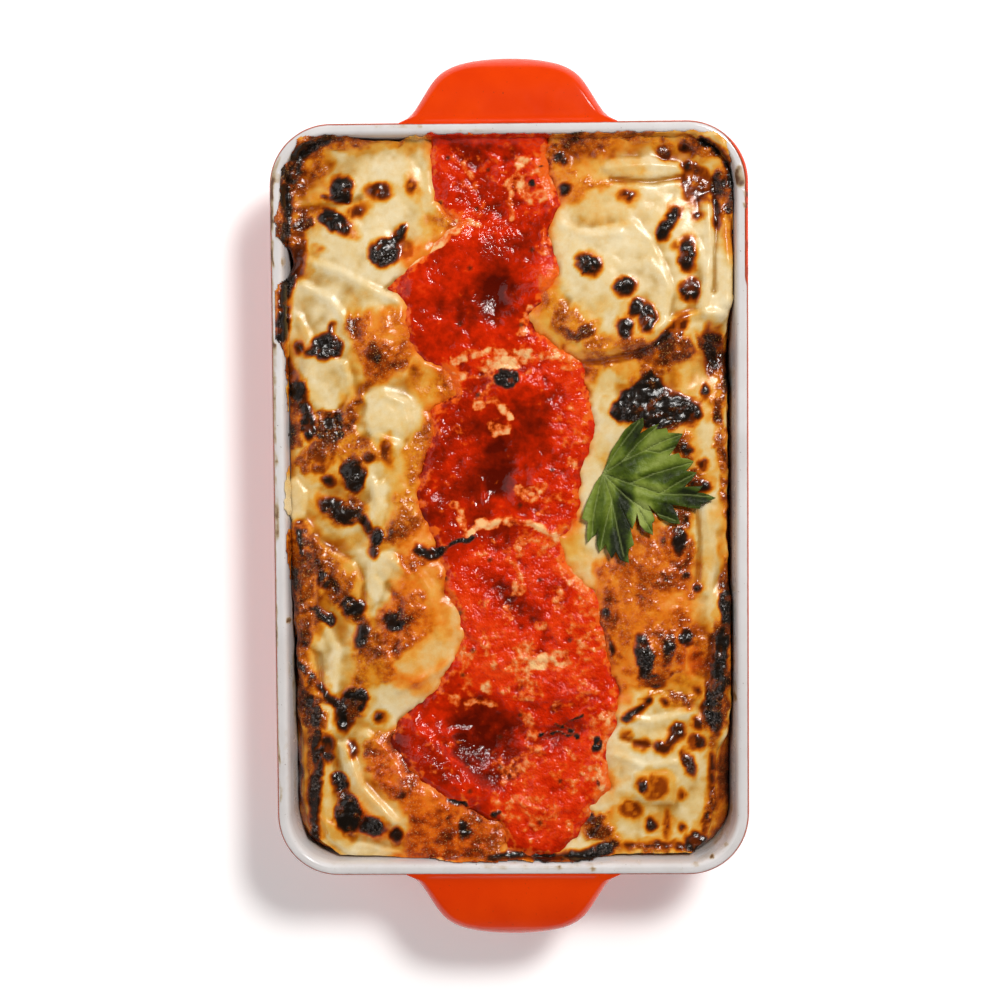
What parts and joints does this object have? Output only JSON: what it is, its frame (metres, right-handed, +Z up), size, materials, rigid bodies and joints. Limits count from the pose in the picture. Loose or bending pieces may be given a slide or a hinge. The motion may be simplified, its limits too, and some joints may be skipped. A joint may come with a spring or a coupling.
{
  "type": "vegetarian lasagna",
  "caption": "Baked vegetarian lasagna with white sauce, a band of tomato sauce and a parsley leaf, in an oblong glazed baking dish with an ear on each short side.",
  "frame": {"origin": "middle of the dish's foot, on the plane that the dish stands on", "axes": "+Z up; Y along the dish from ear to ear, with the pointed end of the tomato sauce at -Y; +X towards the side with the parsley leaf"},
  "size_m": [0.1896, 0.349, 0.06],
  "materials": {
    "glazed_stoneware": "orange gloss glaze outside, white gloss glaze on the rim and inside",
    "baked_white_sauce": "baked white sauce and pasta, cream to golden brown with charred blisters, half gloss",
    "tomato_sauce": "moist deep red tomato sauce, uneven gloss",
    "parsley": "fresh green leaf, satin"
  },
  "bodies": {
    "root": {"dish": "glazed_stoneware", "lasagna": "baked_white_sauce", "tomato_sauce": "tomato_sauce", "parsley_leaf": "parsley"}
  },
  "joints": []
}
